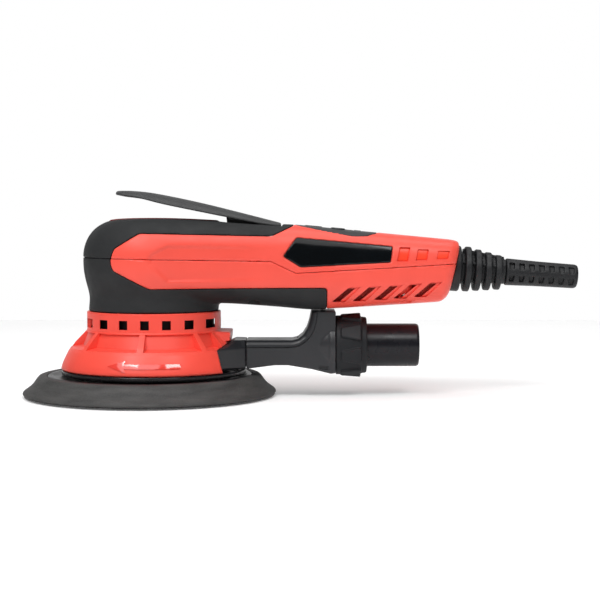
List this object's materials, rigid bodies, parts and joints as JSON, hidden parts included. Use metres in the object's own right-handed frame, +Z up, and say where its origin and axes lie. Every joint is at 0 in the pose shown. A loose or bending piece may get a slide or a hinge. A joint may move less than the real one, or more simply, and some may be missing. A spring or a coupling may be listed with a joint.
{
  "type": "random orbital sander",
  "caption": "Electric random orbital sander: round motor head over an offset sanding pad, in-line grip with a palm lever, side dust tube with hose nozzle, cord boot at the rear.",
  "frame": {"origin": "where the motor's axis meets the sanding face of the pad, the pad standing flat", "axes": "+X runs back along the grip to the cord, +Z up along the motor's axis, +Y to the left seen from the cord end; the pad's own axis stands 2.5 mm ahead of the motor's at rest"},
  "size_m": [0.3294, 0.15, 0.1213],
  "materials": {
    "red_shell": "fine satin texture, coral red",
    "soft_grip": "matt soft-touch overmould, charcoal",
    "black_plastic": "satin black",
    "gloss_black": "gloss black",
    "black_rubber": "matt black rubber",
    "pad_foam": "closed-cell foam, warm dark grey",
    "hook": "hook-and-loop face, dark grey",
    "steel": "turned steel",
    "aluminium": "die-cast aluminium",
    "iron": "laminated or sintered iron",
    "copper": "enamelled copper winding",
    "board": "green circuit board",
    "lens": "pale diffusing lens"
  },
  "bodies": {
    "housing": {"upper_housing": "red_shell", "upper_grip": "soft_grip", "lower_housing": "red_shell", "lower_grip": "soft_grip", "name_plate_near": "gloss_black", "name_plate_far": "gloss_black", "control_panel": "soft_grip", "status_lens": "lens", "button_board": "board", "control_board": "board", "heat_sink": "aluminium", "capacitor_near": "gloss_black", "capacitor_far": "gloss_black", "terminal_block": "black_plastic", "lever_switch": "black_plastic", "lever_pin": "steel", "lever_spring": "steel", "motor_frame": "black_plastic", "stator_core": "iron", "winding_upper": "copper", "winding_lower": "copper", "upper_bearing": "steel", "bearing_plate": "aluminium", "lower_bearing": "steel", "shroud": "red_shell", "brake_lip": "black_rubber", "duct_stub": "black_plastic", "dust_duct": "black_plastic", "nozzle_seal": "black_rubber", "cord_boot": "black_rubber", "cord_sleeve": "black_rubber", "cord_clamp": "black_plastic", "clamp_screw_near": "steel", "clamp_screw_far": "steel", "brace_screw": "steel", "shell_screw_front_near": "steel", "shell_screw_front_far": "steel", "shell_screw_rear_near": "steel", "shell_screw_rear_far": "steel", "shroud_screw_1": "steel", "shroud_screw_2": "steel", "shroud_screw_3": "steel"},
    "spindle": {"eccentric_spindle": "steel", "counterweight": "iron", "rotor": "iron", "cooling_fan": "black_plastic", "pad_bearing": "steel"},
    "pad": {"pad_spindle": "steel", "pad_plate": "gloss_black", "pad_foam": "pad_foam", "hook_face": "hook"},
    "lever": {"lever": "black_plastic"},
    "power_button": {"power_button": "black_plastic"},
    "speed_up_button": {"speed_up_button": "black_plastic"},
    "speed_down_button": {"speed_down_button": "black_plastic"},
    "locking_collar": {"locking_collar": "black_plastic"},
    "hose_nozzle": {"hose_nozzle": "black_plastic"}
  },
  "joints": [
    {"name": "spindle_spin", "type": "hinge", "parent": "housing", "child": "spindle", "pos_m": [0, 0, 0.05], "axis": [0, 0, 1], "continuous": true},
    {"name": "pad_spin", "type": "hinge", "parent": "spindle", "child": "pad", "pos_m": [-0.0025, 0, 0.02], "axis": [0, 0, 1], "continuous": true},
    {"name": "lever_press", "type": "hinge", "parent": "housing", "child": "lever", "pos_m": [0.0641, 0, 0.09841], "axis": [0, -1, 0], "range_deg": [0, 7.5], "stiffness_Nm_per_rad": 0.6, "springref_deg": -5.73, "deforming": ["lever_spring"]},
    {"name": "power_button_press", "type": "slide", "parent": "housing", "child": "power_button", "axis": [-0.0906, 0, -0.9959], "range_m": [0, 0.0008], "stiffness_N_per_m": 400},
    {"name": "speed_up_button_press", "type": "slide", "parent": "housing", "child": "speed_up_button", "axis": [-0.0906, 0, -0.9959], "range_m": [0, 0.0008], "stiffness_N_per_m": 400},
    {"name": "speed_down_button_press", "type": "slide", "parent": "housing", "child": "speed_down_button", "axis": [-0.0906, 0, -0.9959], "range_m": [0, 0.0008], "stiffness_N_per_m": 400},
    {"name": "collar_turn", "type": "hinge", "parent": "housing", "child": "locking_collar", "pos_m": [0.117, 0, 0.0296], "axis": [1, 0, 0], "range_deg": [0, 40]},
    {"name": "nozzle_swivel", "type": "hinge", "parent": "housing", "child": "hose_nozzle", "pos_m": [0.13, 0, 0.0296], "axis": [1, 0, 0], "continuous": true}
  ]
}
